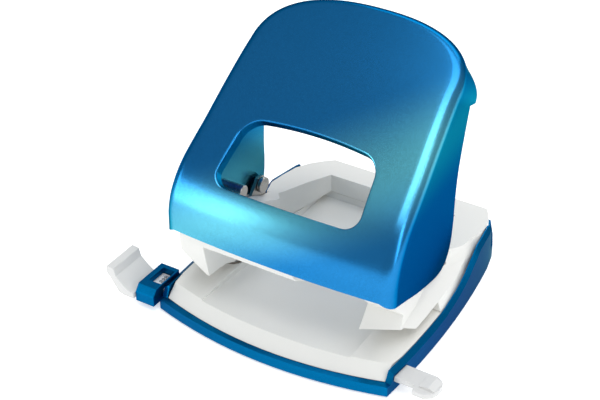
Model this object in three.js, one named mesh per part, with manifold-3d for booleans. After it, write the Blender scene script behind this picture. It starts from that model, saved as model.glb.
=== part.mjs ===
// Two-hole desk punch with an open-loop handle, a sliding paper stop and a chip tray.
// Millimetres, +Z up. X runs across the punch (left is -X), Y runs front to back.
// The origin is on the desk plane, midway between the two punches.
import * as THREE from 'three';
import { mergeVertices } from 'three/addons/utils/BufferGeometryUtils.js';
import Module from 'manifold-3d';

const wasm = await Module();
wasm.setup();

// ---- driving dimensions -------------------------------------------------------------
const HOLE_SPACING = 80; // between the two punched holes
const PUNCH_R = 2.75; // punch pin radius
const RUN_CLEAR = 0.35; // radial or side clearance of anything that moves
const SEAT_GAP = 0.3; // gap between pieces that rest on each other
const BASE_HALF = 55; // greatest half width of the blue base
const BASE_FRONT = -43; // front of the base on the centre line
const BASE_REAR = 85; // straight rear edge
const BASE_FLOAT = 0.8; // underside of the pan above the desk
const FRONT_BOW = 8; // how far the front corners lie behind the middle
const SIDE_BOW = 0.001314; // curvature of the long sides
const PAN_WALL = 2.3; // blue wall thickness
const PAN_FLOOR = 1.5; // blue floor thickness
const FLOOR_Z = 3.5; // underside of the blue floor
const TABLE_Z = 10.3; // white paper table
const SLOT_HEIGHT = 4.7; // paper slot
const SLOT_DEPTH = 12; // from the punch line to the back of the slot
const HEAD_HALF = 5.5; // half width of the open channel wall to the punch axis
const PLATE = 2; // thickness of the steel guide plates
const GUIDE_RISE = 7.5; // from slot ceiling to the upper guide plate
const SPRING_LENGTH = 14; // return spring
const SPRING_WIRE = 0.8; // return spring wire
const STROKE = 7; // punch travel
const PIVOT_Y = 25; // handle hinge behind the punch line
const PIVOT_RISE = 22.7; // handle hinge above the table
const PIVOT_R = 2.5; // handle hinge pin
const PRESS_R = 3; // roller pin that pushes a punch down
const EAR = 1.5; // thickness of the bearing ear
const SHEET = 1.6; // handle sheet thickness
const ROLL_R = 5; // rolled edge of the handle
const LIP = 3; // straight lip below the rolled crest
const FLANGE_HALF = 48.28; // half width of the handle flange at the punch line
const FLANGE_TAPER = 0.1018; // narrowing towards the rear, mm per mm
const FLANGE_LEAN = 0.0174; // widening upwards, mm per mm
const SHOULDER_V = 88; // up the sheet, where its sides turn into the crest
const CREST_V = 120.5; // up the sheet to the crest
const CREST_POWER = 2.3; // squareness of the crest's corners
const SIDE_STEPS = 14; // facets up each side of the handle
const CREST_STEPS = 10; // facets over half the crest
const FOOT_STEPS = 12; // facets along the lower edge
const HANDLE_CROWN = 2; // how far the handle front bulges in plan
const WINDOW_LOW_HALF = 32.8; // hand opening, half width at its lower edge
const WINDOW_HIGH_HALF = 29.7; // hand opening, half width at its upper edge
const WINDOW_LOW_V = 25; // lower edge of the hand opening, up the sheet
const WINDOW_HEIGHT = 29.5; // hand opening along the slope
const WINDOW_ARCH = 3; // rise of its upper edge
const WINDOW_ROUND = 7; // hand opening corner radius
const RAIL_WIDTH = 9.6; // sliding paper stop rail
const RAIL_HEIGHT = 2.6;
const RAIL_Y = -25.2; // centre line of the rail
const RAIL_LENGTH = 100;
const SLEEVE_REACH = 9; // how far the blue sleeve stands out of the base
const SLEEVE_FRONT = -37.6;
const SLEEVE_REAR = -18.8;
const STOP_REACH = 13; // how far the stop fin leans out
const STOP_HEIGHT = 15.5; // top of the stop fin above the desk
const STOP_FRONT = -38.8;
const STOP_REAR = -21;
const TAB_REACH = 17; // how far the locking slide stands out of the base
const TAB_WIDTH = 12.4;
const TAB_THICK = 2.2;
const TAB_NECK = 3.4; // the slide is this much narrower in front where it enters the base
const LOCK_TRAVEL = 7;
const RAIL_HEADROOM = 0.8; // above the rail, room for the printed strip
const FOOT_LENGTH = 16;
const FOOT_WIDTH = 7;
const TRAY_HALF = 39.5; // half width of the chip tray
const TRAY_WALL = 1.2;
const SCREW_R = 1.5;
const DECK_INSET = 7.2; // the rear deck is this much narrower than the base, on each side
const WALL_RISE = 10; // crest of the blue side walls above the table
const WALL_CHAMFER = 1.7; // slope cut off the outer edge of the blue walls
const BEVEL_DEPTH = 5.4; // white front bevel, front to back
const BEVEL_DROP = 4.8; // white front bevel, top to bottom
const POD_TIP_Y = -13.4; // outer lower tips of the two pods
const POD_SLANT = 0.735; // the pods' lower front edges run forward by this much per mm inwards

// ---- places that follow from them ---------------------------------------------------
const headX = HOLE_SPACING / 2;
const channelHalf = headX - HEAD_HALF;
const SLEEVE_OUT = BASE_HALF + SLEEVE_REACH; // outer end of the sleeve from the centre plane
const RAIL_LEFT = -SLEEVE_OUT - 1; // outer end of the rail when pushed home
const TAB_OUT = BASE_HALF + TAB_REACH; // outer end of the locking slide
const rampDrop = 3.3; // the channel floor lies this far below the table
const channelZ = TABLE_Z - rampDrop;
const slotTop = TABLE_Z + SLOT_HEIGHT;
const bodyZ = FLOOR_Z + PAN_FLOOR + SEAT_GAP; // underside of the white base body
const coverZ = TABLE_Z + SEAT_GAP; // underside of the mechanism cover
const guideZ = slotTop + 0.2;
const upperGuideZ = guideZ + GUIDE_RISE;
const springZ = upperGuideZ + PLATE + 0.1;
const clipZ = springZ + SPRING_LENGTH + 0.1;
const punchTopZ = clipZ + 1.4;
const punchTipZ = slotTop + 0.3;
const pressZ = punchTopZ + PRESS_R + 0.35;
const pressY = 2;
const pivotZ = TABLE_Z + PIVOT_RISE;
const railZ = FLOOR_Z + 0.3;
const railFront = RAIL_Y - RAIL_WIDTH / 2;
const railRear = RAIL_Y + RAIL_WIDTH / 2;
const tabY = -27.2;
const tabZ = bodyZ - 0.3;
const lockInner = BASE_HALF - 10.5; // inner end of the locking slide
const trayRear = BASE_REAR - PAN_WALL - 1.6;
const trayHingeY = trayRear - 2;
const wallTopZ = TABLE_Z + WALL_RISE; // crest of the blue side walls
const wallEndY = BASE_REAR - 23.5; // where the long sides turn into the rear corners
const rearHalf = BASE_HALF - 15.5; // half width of the straight rear edge
const circleSides = 24;
const chipR = PUNCH_R + 0.8; // holes that the paper discs drop through

// ---- colours ------------------------------------------------------------------------
const finishes = {
  blueMetal: new THREE.MeshStandardMaterial({ color: 0x1385bd, roughness: 0.28, metalness: 0.75 }),
  bluePlastic: new THREE.MeshStandardMaterial({ color: 0x0f6aa8, roughness: 0.35, metalness: 0.3 }),
  whitePlastic: new THREE.MeshStandardMaterial({ color: 0xe6e7e0, roughness: 0.5, metalness: 0 }),
  greyPlastic: new THREE.MeshStandardMaterial({ color: 0xd0d1cc, roughness: 0.45, metalness: 0 }),
  steel: new THREE.MeshStandardMaterial({ color: 0xb9b6b0, roughness: 0.3, metalness: 1 }),
  rubber: new THREE.MeshStandardMaterial({ color: 0x2b2c2e, roughness: 0.9, metalness: 0 }),
  label: new THREE.MeshStandardMaterial({ color: 0xf2f2f0, roughness: 0.7, metalness: 0 }),
};

// ---- solids -------------------------------------------------------------------------
function toSolid(source) {
  const bare = source.index ? source.toNonIndexed() : source.clone();
  for (const name of ['normal', 'uv']) bare.deleteAttribute(name);
  const merged = mergeVertices(bare, 1e-4);
  return new wasm.Manifold(new wasm.Mesh({
    numProp: 3,
    vertProperties: new Float32Array(merged.attributes.position.array),
    triVerts: new Uint32Array(merged.index.array),
  }));
}

function toGeometry(solid) {
  const mesh = solid.getMesh();
  const geometry = new THREE.BufferGeometry();
  geometry.setAttribute('position', new THREE.BufferAttribute(mesh.vertProperties, 3));
  geometry.setIndex(new THREE.BufferAttribute(mesh.triVerts, 1));
  return geometry;
}

function block(x0, x1, y0, y1, z0, z1) {
  const geometry = new THREE.BoxGeometry(x1 - x0, y1 - y0, z1 - z0);
  return toSolid(geometry.translate((x0 + x1) / 2, (y0 + y1) / 2, (z0 + z1) / 2));
}

function cylinder(radius, length, sides = circleSides) {
  return new THREE.CylinderGeometry(radius, radius, length, sides);
}

function barZ(radius, x, y, z0, z1, sides) {
  return toSolid(cylinder(radius, z1 - z0, sides).rotateX(Math.PI / 2).translate(x, y, (z0 + z1) / 2));
}

function barX(radius, x0, x1, y, z, sides) {
  return toSolid(cylinder(radius, x1 - x0, sides).rotateZ(Math.PI / 2).translate((x0 + x1) / 2, y, z));
}

function extrude(points, depth) {
  const shape = new THREE.Shape(points.map(([a, b]) => new THREE.Vector2(a, b)));
  return new THREE.ExtrudeGeometry(shape, { depth, bevelEnabled: false, steps: 1 });
}

// A polygon in the (y, z) plane, swept from x0 to x1.
function prismX(points, x0, x1) {
  const turn = new THREE.Matrix4().makeBasis(
    new THREE.Vector3(0, 1, 0), new THREE.Vector3(0, 0, 1), new THREE.Vector3(1, 0, 0));
  return toSolid(extrude(points, x1 - x0).applyMatrix4(turn).translate(x0, 0, 0));
}

// A polygon in the (x, z) plane, swept from y0 to y1.
function prismY(points, y0, y1) {
  const turn = new THREE.Matrix4().makeBasis(
    new THREE.Vector3(1, 0, 0), new THREE.Vector3(0, 0, 1), new THREE.Vector3(0, -1, 0));
  return toSolid(extrude(points, y1 - y0).applyMatrix4(turn).translate(0, y1, 0));
}

// A polygon in the (x, y) plane, swept from z0 to z1.
function prismZ(points, z0, z1) {
  return toSolid(extrude(points, z1 - z0).translate(0, 0, z0));
}

// Closed skin over a stack of rings with equal point counts, capped at both ends.
// flat(p) gives a ring point's two coordinates, seen against the stacking direction.
function loft(rings, flat) {
  const outline = rings[0].map((p) => new THREE.Vector2(...flat(p)));
  const stack = THREE.ShapeUtils.isClockWise(outline) ? rings.map((r) => [...r].reverse()) : rings;
  const count = stack[0].length;
  const corners = stack.flat();
  const faces = [];
  for (let i = 0; i + 1 < stack.length; i += 1) {
    for (let k = 0; k < count; k += 1) {
      const next = (k + 1) % count;
      const [a, b] = [i * count + k, i * count + next];
      faces.push(a, b, b + count, a, b + count, a + count);
    }
  }
  const cap = (ring, base, turned) => {
    const points = ring.map((p) => new THREE.Vector2(...flat(p)));
    for (const [a, b, c] of THREE.ShapeUtils.triangulateShape(points, [])) {
      if (turned) faces.push(base + c, base + b, base + a);
      else faces.push(base + a, base + b, base + c);
    }
  };
  cap(stack[0], 0, true);
  cap(stack[stack.length - 1], (stack.length - 1) * count, false);
  const geometry = new THREE.BufferGeometry();
  geometry.setAttribute('position', new THREE.Float32BufferAttribute(corners.flat(), 3));
  geometry.setIndex(faces);
  return toSolid(geometry);
}

// ---- plan outline of the base -------------------------------------------------------
// Half width at y: two shallow arcs, then a corner sweep into the straight rear edge.
function planHalf(y) {
  const side = BASE_HALF - SIDE_BOW * (y + 2) ** 2;
  if (y <= wallEndY) return side;
  const atEnd = BASE_HALF - SIDE_BOW * (wallEndY + 2) ** 2;
  const share = Math.min((y - wallEndY) / (BASE_REAR - wallEndY), 1);
  return atEnd - (atEnd - rearHalf) * share ** 1.6;
}

// Places along the sides where every outline of the base has a corner.
const bowStops = Array.from({ length: 9 }, (_, i) => -20 + (wallEndY + 20) * (i / 8));
const cornerStops = [wallEndY + 9, wallEndY + 16];

// The outline, moved in by inset, as a closed list of (x, y). frontInset moves the bowed front.
function planOutline(inset, frontInset = inset) {
  const right = [];
  const bowSteps = 8;
  const cornerHalf = planHalf(BASE_FRONT + FRONT_BOW) - inset;
  for (let i = 0; i <= bowSteps; i += 1) {
    const share = i / bowSteps;
    right.push([cornerHalf * share, BASE_FRONT + frontInset + FRONT_BOW * share ** 2]);
  }
  for (const y of [...bowStops, ...cornerStops]) right.push([planHalf(y) - inset, y]);
  right.push([rearHalf - inset * 0.6, BASE_REAR - inset]);
  const left = right.slice(1).reverse().map(([x, y]) => [-x, y]);
  return [...right, ...left];
}

// ---- base pan -----------------------------------------------------------------------
// Space under the crest of the blue walls: low along the bowed front, level with the table
// along the sides, high beside the rear deck, and sloping down outwards.
function rimRoof() {
  const frontZ = TABLE_Z - BEVEL_DROP - 0.1;
  const frontEnd = BASE_FRONT + FRONT_BOW + PAN_WALL;
  const crest = [
    [BASE_FRONT - 5, frontZ], [frontEnd, frontZ], [frontEnd + 2, TABLE_Z - 0.2], [12, TABLE_Z],
    [27, TABLE_Z + 2.1], [36, TABLE_Z + 4.5], [40, TABLE_Z + 6.5], [45, wallTopZ - 1.9],
    [49, wallTopZ], [wallEndY + 3.5, wallTopZ - 0.3], [wallEndY + 4.5, TABLE_Z - 1.5],
    [BASE_REAR + 5, TABLE_Z - 1.5],
  ];
  const low = BASE_FLOAT - 1;
  return loft(crest.map(([y, z]) => {
    const out = planHalf(Math.max(y, BASE_FRONT + FRONT_BOW)) + 0.5;
    const edge = z - WALL_CHAMFER * (y < frontEnd + 1 ? 0.2 : 1);
    const into = out - PAN_WALL;
    return [[-BASE_HALF - 5, y, low], [BASE_HALF + 5, y, low], [BASE_HALF + 5, y, edge], [out, y, edge],
      [into, y, z], [-into, y, z], [-out, y, edge], [-BASE_HALF - 5, y, edge]];
  }), ([x, , z]) => [z, x]);
}

function makeBasePan() {
  const cavity = prismZ(planOutline(PAN_WALL), FLOOR_Z + PAN_FLOOR, wallTopZ + 5);
  const trayPocket = prismZ(planOutline(PAN_WALL), BASE_FLOAT - 1, FLOOR_Z);
  let pan = prismZ(planOutline(0), BASE_FLOAT, wallTopZ + 1)
    .intersect(rimRoof())
    .subtract(cavity)
    .subtract(trayPocket);
  const slack = RUN_CLEAR;
  pan = pan.subtract(block(-BASE_HALF - 2, RAIL_LEFT + RAIL_LENGTH + 2,
    railFront - slack, railRear + slack, FLOOR_Z - 1, railZ + RAIL_HEIGHT + RAIL_HEADROOM));
  pan = pan.subtract(block(lockInner - LOCK_TRAVEL - 1, BASE_HALF + 2,
    tabY - TAB_WIDTH / 2 + TAB_NECK - slack, tabY + TAB_WIDTH / 2 + slack, tabZ - 0.3, tabZ + TAB_THICK + 0.4));
  pan = pan.subtract(block(-rearHalf + 6, rearHalf - 6, trayHingeY - 3.4, BASE_REAR - PAN_WALL,
    FLOOR_Z - 0.1, FLOOR_Z + PAN_FLOOR - 0.5));
  for (const side of [-1, 1]) {
    pan = pan.subtract(barZ(chipR, side * headX, 0, 0, bodyZ + 1));
    for (const y of screwRows) {
      pan = pan.subtract(barZ(SCREW_R + 0.4, side * screwX(y), y, 0, bodyZ + 1, 12));
    }
  }
  return pan;
}

// ---- feet and screws ----------------------------------------------------------------
const footRows = [-16, 50];
const screwRows = [24, BASE_REAR - 15];
const screwX = (y) => (y < wallEndY ? planHalf(y) - 10.5 : rearHalf - 8);
const footX = TRAY_HALF + SEAT_GAP * 2 + FOOT_WIDTH / 2;

function makeFoot(side, y) {
  const half = FOOT_LENGTH / 2;
  const wide = FOOT_WIDTH / 2;
  const cut = 1.2;
  const outline = [
    [-wide, -half + cut], [-wide + cut, -half], [wide - cut, -half], [wide, -half + cut],
    [wide, half - cut], [wide - cut, half], [-wide + cut, half], [-wide, half - cut],
  ];
  const placed = outline.map(([x, dy]) => [side * footX + x, y + dy]);
  return prismZ(placed, 0, FLOOR_Z - SEAT_GAP);
}

function makeCoverScrew(side, y) {
  const x = side * screwX(y);
  const head = barZ(SCREW_R + 1.3, x, y, FLOOR_Z - 1.5, FLOOR_Z - SEAT_GAP, 16);
  return head.add(barZ(SCREW_R, x, y, FLOOR_Z - 1, coverZ + 1.6, 12));
}

// ---- white base body ----------------------------------------------------------------
const bodyInset = PAN_WALL + SEAT_GAP;

function makeBaseBody() {
  const ramp = [
    [BASE_FRONT + 8, TABLE_Z + 1], [BASE_FRONT + 8, TABLE_Z], [-12, TABLE_Z - 2.3],
    [0, channelZ], [66, channelZ], [66, TABLE_Z + 1],
  ];
  const ring = (z, frontInset) => planOutline(bodyInset, frontInset).map(([x, y]) => [x, y, z]);
  let body = loft([
    ring(bodyZ, bodyInset), ring(TABLE_Z - BEVEL_DROP, bodyInset), ring(TABLE_Z, bodyInset + BEVEL_DEPTH),
  ], ([x, y]) => [x, y])
    .subtract(prismX(ramp, -channelHalf - 0.3, channelHalf + 0.3))
    .subtract(block(-BASE_HALF - 2, RAIL_LEFT + RAIL_LENGTH + 2,
      railFront - RUN_CLEAR, railRear + RUN_CLEAR, bodyZ - 1, railZ + RAIL_HEIGHT + RAIL_HEADROOM))
    .subtract(block(lockInner - LOCK_TRAVEL - 1, BASE_HALF + 2, tabY - TAB_WIDTH / 2 + TAB_NECK - RUN_CLEAR,
      tabY + TAB_WIDTH / 2 + RUN_CLEAR, bodyZ - 1, tabZ + TAB_THICK + 0.3));
  for (const side of [-1, 1]) {
    body = body
      .subtract(barZ(chipR, side * headX, 0, bodyZ - 1, TABLE_Z + 1))
      .subtract(barZ(dieR + SEAT_GAP, side * headX, 0, dieZ - SEAT_GAP, TABLE_Z + 1));
    for (const y of screwRows) {
      body = body.subtract(barZ(SCREW_R + 0.4, side * screwX(y), y, bodyZ - 1, TABLE_Z + 1, 12));
    }
  }
  return body;
}

// ---- dies ---------------------------------------------------------------------------
const dieR = PUNCH_R + 1.8;
const dieZ = TABLE_Z - 2.2;

function makeDie(side) {
  const disc = barZ(dieR, side * headX, 0, dieZ, TABLE_Z - 0.1);
  return disc.subtract(barZ(PUNCH_R + 0.3, side * headX, 0, dieZ - 1, TABLE_Z + 1));
}

// ---- mechanism cover ----------------------------------------------------------------
const coverTop = [
  [-29, TABLE_Z + 29.2], [5, TABLE_Z + 25.7], [20, TABLE_Z + 19.7], [25.5, TABLE_Z + 16.7],
  [36, TABLE_Z + 14.4], [51, TABLE_Z + 12.1], [BASE_REAR - bodyInset, TABLE_Z + 5.6],
];
const shoulderZ = TABLE_Z + 8;
const podRise = 2.6; // the pods' lower tips above the slot ceiling
const shoulderStep = 2; // extra half width beside the bearing ears, below the flanges
const deckSlope = 3; // extra half width beside the rear deck, below its crease

const flangeX = (y, z) => FLANGE_HALF - FLANGE_TAPER * y + FLANGE_LEAN * z;

// Half width of the cover above its shoulder, inside the swinging flanges.
function upperHalf(y) {
  const inside = flangeX(y, shoulderZ) - SHEET - 0.9 - Math.max(0, -22 - y) * 0.4;
  const outer = planHalf(y) - bodyInset - 0.6;
  return Math.min(outer, y < 33 ? inside : planHalf(42) - DECK_INSET);
}

function coverRing(z, halfAt) {
  const stops = [-34, ...bowStops, ...cornerStops, BASE_REAR - bodyInset];
  const right = stops.map((y) => [halfAt(y), y, z]);
  const left = [...right].reverse().map(([x, y]) => [-x, y, z]);
  return [...right, ...left];
}

// Space in front of one pod: its front face leans and slants, and meets the handle's lower edge.
function podFront(side) {
  const ring = (z, tipY, slant) => {
    const edgeY = (x) => tipY + slant * (x - BASE_HALF + 4.3);
    return [[0, edgeY(0)], [BASE_HALF + 5, edgeY(BASE_HALF + 5)], [BASE_HALF + 5, -80], [0, -80]]
      .map(([x, y]) => [side * x, y, z]);
  };
  return loft([
    ring(TABLE_Z + 1, POD_TIP_Y, POD_SLANT), ring(slotTop + podRise, POD_TIP_Y, POD_SLANT),
    ring(TABLE_Z + 30, -29.5, 0.05),
  ], ([x, y]) => [x, y]);
}

function makeCover() {
  const lowHalf = (y) => planHalf(y) - bodyInset - 0.1;
  const body = loft([
    coverRing(coverZ, lowHalf),
    coverRing(coverZ + 4.4, (y) => lowHalf(y) * 0.8 + upperHalf(y) * 0.2),
    coverRing(shoulderZ, (y) => Math.min(lowHalf(y),
      upperHalf(y) + (y > 33 ? deckSlope : y > 10 ? shoulderStep : 0.2))),
    coverRing(shoulderZ + 3, (y) => Math.min(lowHalf(y), upperHalf(y) + (y > 33 ? deckSlope / 2 : 0))),
    coverRing(TABLE_Z + 31, upperHalf),
  ], ([x, y]) => [x, y]);
  const side = [
    ...coverTop, [BASE_REAR - bodyInset, coverZ], [SLOT_DEPTH, coverZ], [SLOT_DEPTH, slotTop],
    [POD_TIP_Y + 5.4, slotTop], [POD_TIP_Y, slotTop + podRise], [-26, slotTop + podRise + 1.5],
    [-29.5, TABLE_Z + 24], [-29.5, TABLE_Z + 28.6],
  ];
  const bridgeZ = TABLE_Z + 25;
  const well = [
    [-channelHalf, 28], [-channelHalf - 3.5, 32.5], [-channelHalf + 3.6, 65.8],
    [channelHalf - 3.6, 65.8], [channelHalf + 3.5, 32.5], [channelHalf, 28],
  ];
  let cover = body
    .intersect(prismX(side, -BASE_HALF, BASE_HALF))
    .subtract(block(-channelHalf, channelHalf, -26, 29, 0, TABLE_Z + 40))
    .subtract(block(-channelHalf, channelHalf, -32, -25, 0, bridgeZ))
    .subtract(prismZ(well, 0, TABLE_Z + 40));
  for (const s of [-1, 1]) {
    cover = cover.subtract(podFront(s));
    const near = s * (headX - 4.4);
    const far = s * (frameOut + SEAT_GAP);
    const [x0, x1] = [Math.min(near, far), Math.max(near, far)];
    cover = cover
      .subtract(block(x0, x1, -7.6, SLOT_DEPTH + 3.3, TABLE_Z - 1, upperGuideZ + PLATE + 5.5))
      .subtract(barZ(PUNCH_R + 2.2, s * headX, 0, TABLE_Z, TABLE_Z + 40))
      .subtract(block(Math.min(s * (headX - 5), s * BASE_HALF), Math.max(s * (headX - 5), s * BASE_HALF),
        pressY - PRESS_R - 3, pressY + PRESS_R + 0.5, pressZ - STROKE - PRESS_R - 0.5, TABLE_Z + 40));
    const earIn = s * (frameOut - EAR - SEAT_GAP);
    cover = cover.subtract(block(Math.min(earIn, far), Math.max(earIn, far),
      SLOT_DEPTH, PIVOT_Y + 6.6, guideZ - 0.5, TABLE_Z + 40));
    for (const y of screwRows) {
      cover = cover.subtract(barZ(SCREW_R + 0.3, s * screwX(y), y, coverZ - 1, coverZ + 2.4, 12));
    }
  }
  return cover.subtract(block(-rearHalf + 15, rearHalf - 15, 68.5, BASE_REAR - 6, 0, coverZ + 3));
}

// ---- punching mechanism -------------------------------------------------------------
const frameOut = flangeX(PIVOT_Y + 7, pivotZ) - SHEET - SEAT_GAP; // outer face of the bearing ear

const earR = PIVOT_R + 0.9; // the ear ends just inside the outline of the pin head

function makeFrame(side) {
  const inner = headX - 4;
  const wide = (a, b) => [Math.min(side * a, side * b), Math.max(side * a, side * b)];
  const [x0, x1] = wide(inner, frameOut);
  const ear = [
    [SLOT_DEPTH + 0.6, guideZ], [SLOT_DEPTH + 0.6, upperGuideZ + PLATE], [PIVOT_Y - 3.6, pivotZ + 1.5],
    [PIVOT_Y - 2, pivotZ + earR], [PIVOT_Y + 2, pivotZ + earR], [PIVOT_Y + 3.6, pivotZ + 1.5],
    [PIVOT_Y + 4, pivotZ - 3], [PIVOT_Y + 3, guideZ],
  ];
  const [e0, e1] = wide(frameOut - EAR, frameOut);
  let frame = block(x0, x1, -7, SLOT_DEPTH + 2.6, guideZ, guideZ + PLATE)
    .add(block(x0, x1, -7, SLOT_DEPTH + 2.6, upperGuideZ, upperGuideZ + PLATE))
    .add(block(x0, x1, SLOT_DEPTH + 0.6, SLOT_DEPTH + 2.6, coverZ, upperGuideZ + PLATE))
    .add(prismX(ear, e0, e1));
  frame = frame.subtract(barZ(PUNCH_R + 0.08, side * headX, 0, TABLE_Z, TABLE_Z + 30));
  return frame.subtract(barX(PIVOT_R + 0.1, e0 - 1, e1 + 1, PIVOT_Y, pivotZ));
}

function makePunch(side) {
  const groove = [
    [0, punchTipZ + 0.6], [PUNCH_R, punchTipZ], [PUNCH_R, clipZ], [PUNCH_R - 0.6, clipZ + 0.01],
    [PUNCH_R - 0.6, clipZ + 0.8], [PUNCH_R, clipZ + 0.81], [PUNCH_R, punchTopZ - 0.3],
    [PUNCH_R - 0.5, punchTopZ], [0, punchTopZ],
  ];
  const profile = groove.map(([r, z]) => new THREE.Vector2(r, z));
  const turned = new THREE.LatheGeometry(profile, circleSides).rotateX(Math.PI / 2);
  return turned.translate(side * headX, 0, 0);
}

function makeRing(inner, outer, z0, z1, x) {
  const ring = barZ(outer, x, 0, z0, z1);
  return ring.subtract(barZ(inner, x, 0, z0 - 1, z1 + 1));
}

// ---- handle -------------------------------------------------------------------------
// Side view of the handle front, from its lower edge to its crest.
const handleLine = new THREE.SplineCurve([
  [-35, 19.7], [-34, 30.7], [-33.5, 38.7], [-30.5, 47.7], [-23, 57.7], [-8, 69.7], [6, 81.2],
  [20, 91.7], [32, 98.7], [44, 104.7], [56, 109.7],
].map(([y, rise]) => new THREE.Vector2(y, TABLE_Z + rise)));
const lineStart = 11; // length of the line below the handle's lower edge
const lineLength = handleLine.getLength();

// Sheet coordinates: u across, v up the front from its lower edge, d inward from the outside.
function sheetPoint(u, v, d) {
  const share = Math.min(Math.max((v + lineStart) / lineLength, 0), 1);
  const point = handleLine.getPointAt(share);
  const along = handleLine.getTangentAt(share);
  const crown = HANDLE_CROWN * (u / FLANGE_HALF) ** 2;
  return new THREE.Vector3(u, point.x + d * along.y + crown, point.y - d * along.x);
}

// Half width of the folded sheet at v, so that each flange lies in its leaning plane.
function sheetHalf(v) {
  const folded = sheetPoint(FLANGE_HALF, v, ROLL_R);
  return flangeX(folded.y, folded.z);
}

// Rim of the sheet: up the right side, over the crest and down the left side. Each entry
// holds its place (u, v), the outward direction and how far round the crest it lies.
function sheetRim() {
  const rim = [];
  const crestHalf = sheetHalf(SHOULDER_V);
  for (let i = 0; i < SIDE_STEPS; i += 1) {
    const v = SHOULDER_V * (i / SIDE_STEPS);
    rim.push({ u: sheetHalf(v), v, turn: 0 });
  }
  for (let i = 0; i <= CREST_STEPS; i += 1) {
    const angle = Math.PI / 2 * (i / CREST_STEPS);
    rim.push({
      u: crestHalf * Math.cos(angle) ** (2 / CREST_POWER),
      v: SHOULDER_V + (CREST_V - SHOULDER_V) * Math.sin(angle) ** (2 / CREST_POWER),
      turn: angle / (Math.PI / 2),
    });
  }
  rim.forEach((entry, i) => {
    const before = rim[Math.max(i - 1, 0)];
    const after = rim[i + 1] ?? { u: -before.u, v: before.v };
    entry.out = new THREE.Vector2(after.v - before.v, before.u - after.u).normalize();
  });
  const mirrored = rim.slice(0, -1).reverse().map((entry) => ({
    ...entry, u: -entry.u, out: new THREE.Vector2(-entry.out.x, entry.out.y),
  }));
  return [...rim, ...mirrored];
}

// Free edge of the right flange at v, in (y, z): along its lower edge from the front
// corner, round the pivot lobe, then up the rear edge.
function flangeEdge(v) {
  const corner = sheetPoint(FLANGE_HALF, 0, ROLL_R);
  const stops = [
    [0, corner.y, corner.z], [7, -17, TABLE_Z + 23.8], [14, -4, TABLE_Z + 18.9], [20, 7, TABLE_Z + 15.5],
    [25, PIVOT_Y - 9, pivotZ - 9.5], [28.5, PIVOT_Y - 3, pivotZ - 9.9], [32, PIVOT_Y + 2.5, pivotZ - 7.6],
    [36, PIVOT_Y + 5.8, pivotZ - 2], [41, PIVOT_Y + 7, pivotZ + 7], [49, 32, TABLE_Z + 40.7],
    [60, 33, TABLE_Z + 54], [72, 36.5, TABLE_Z + 67.5], [SHOULDER_V, 40.5, TABLE_Z + 80],
  ];
  const i = Math.max(stops.findIndex(([at]) => at >= v), 1);
  const [low, high] = [stops[i - 1], stops[i]];
  const share = (v - low[0]) / (high[0] - low[0]);
  return [1, 2].map((k) => low[k] + (high[k] - low[k]) * share);
}

// Where the flange or crest lip ends, for one entry of the rim.
function freeEdge(entry) {
  const side = Math.sign(entry.u) || 1;
  const root = sheetPoint(entry.u, entry.v, ROLL_R);
  if (entry.turn === 0) {
    const [y, z] = flangeEdge(entry.v);
    return new THREE.Vector3(side * flangeX(y, z), y, z);
  }
  const [shoulderY, shoulderZ2] = flangeEdge(SHOULDER_V);
  const shoulder = sheetPoint(sheetHalf(SHOULDER_V), SHOULDER_V, ROLL_R);
  const deep = new THREE.Vector3(0, shoulderY - shoulder.y, shoulderZ2 - shoulder.z);
  const shallow = sheetPoint(entry.u, entry.v, ROLL_R + LIP).sub(root);
  const early = Math.min(entry.turn * 2.6, 1);
  const blend = early ** 2 * (3 - 2 * early);
  return root.add(deep.lerp(shallow, blend));
}

// Edge of the hand opening in the direction of angle from its centre, in (u, v).
function windowEdge(angle) {
  const [middle, halfHigh] = [WINDOW_LOW_V + WINDOW_HEIGHT / 2, WINDOW_HEIGHT / 2];
  const direction = new THREE.Vector2(Math.cos(angle), Math.sin(angle));
  const inside = (t) => {
    const [u, v] = [Math.abs(direction.x * t), direction.y * t];
    const lift = (v + halfHigh) / WINDOW_HEIGHT;
    const side = WINDOW_LOW_HALF + (WINDOW_HIGH_HALF - WINDOW_LOW_HALF) * lift;
    const top = halfHigh + WINDOW_ARCH * (1 - (u / side) ** 2);
    const cornerU = u - (side - WINDOW_ROUND);
    const cornerV = v > 0 ? v - (top - WINDOW_ROUND) : -v - (halfHigh - WINDOW_ROUND);
    if (cornerU > 0 && cornerV > 0) return Math.hypot(cornerU, cornerV) < WINDOW_ROUND;
    return cornerU < WINDOW_ROUND && cornerV < WINDOW_ROUND;
  };
  let [near, far] = [0, WINDOW_LOW_HALF * 2];
  for (let i = 0; i < 30; i += 1) {
    const half = (near + far) / 2;
    if (inside(half)) near = half;
    else far = half;
  }
  return [direction.x * near, middle + direction.y * near];
}

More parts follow.
